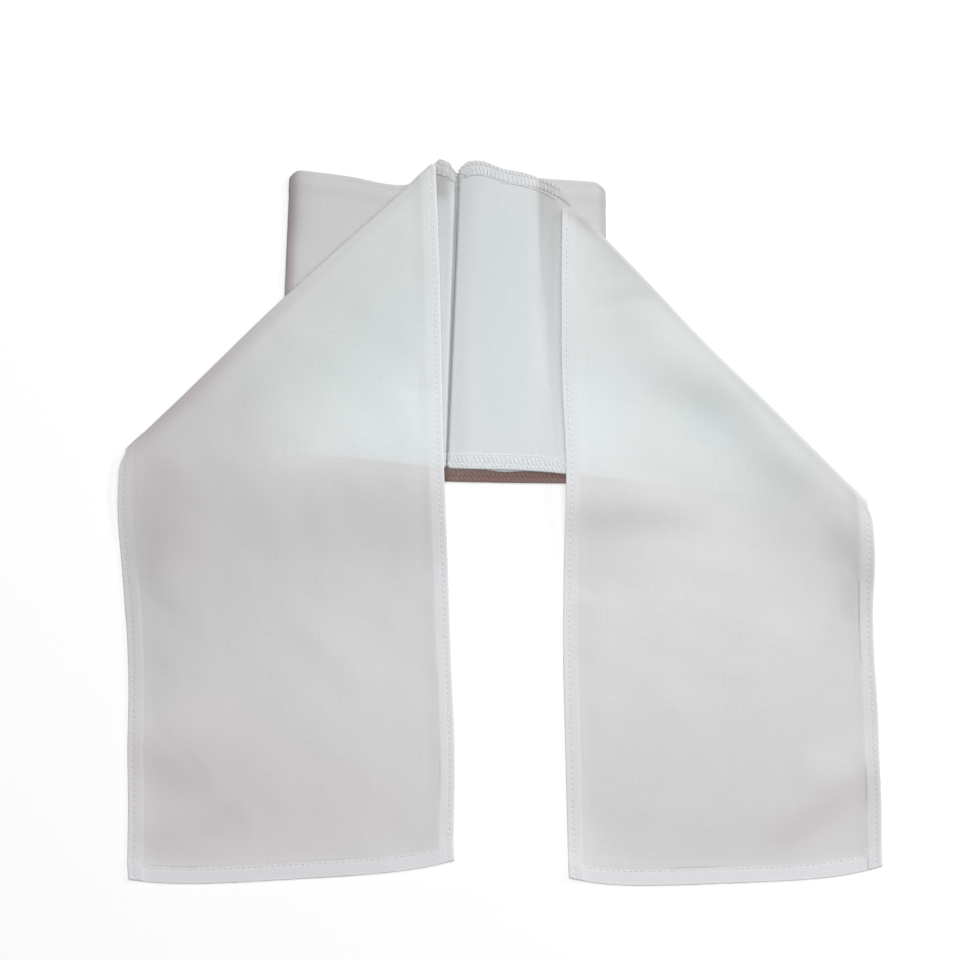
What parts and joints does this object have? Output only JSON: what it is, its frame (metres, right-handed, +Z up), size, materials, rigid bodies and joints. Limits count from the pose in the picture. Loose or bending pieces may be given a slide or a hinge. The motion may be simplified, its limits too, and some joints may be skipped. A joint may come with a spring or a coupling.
{
  "type": "baptism stole",
  "caption": "Plain white cloth stole with turned, topstitched hems, laid flat: two bands folded down on the diagonal from a box-pleated neck.",
  "frame": {"origin": "middle of the flat underside, on the surface that the stole lies on", "axes": "+X across the two bands to the right, +Y from the end hems towards the neck, +Z up"},
  "size_m": [0.3354, 0.3326, 0.0091],
  "materials": {
    "cloth": "plain-woven white cloth, matt, right side",
    "cloth_inside": "plain-woven white cloth, matt, wrong side",
    "hem": "turned hem of the same cloth, topstitched and overlocked in white thread",
    "thread": "white sewing thread"
  },
  "bodies": {
    "root": {"underlay": "cloth_inside", "underlay_hem_bottom": "hem", "pleat_left": "cloth", "pleat_left_hem_top": "hem", "pleat_right": "cloth", "pleat_right_hem_top": "hem", "neck_left": "cloth_inside", "neck_left_hem_bottom": "hem", "neck_left_hem_top": "hem", "neck_right": "cloth_inside", "neck_right_hem_bottom": "hem", "neck_right_hem_top": "hem", "band_left": "cloth", "band_left_hem_outer": "hem", "band_left_hem_inner": "hem", "band_left_hem_end": "hem", "band_right": "cloth", "band_right_hem_outer": "hem", "band_right_hem_inner": "hem", "band_right_hem_end": "hem"}
  },
  "joints": []
}
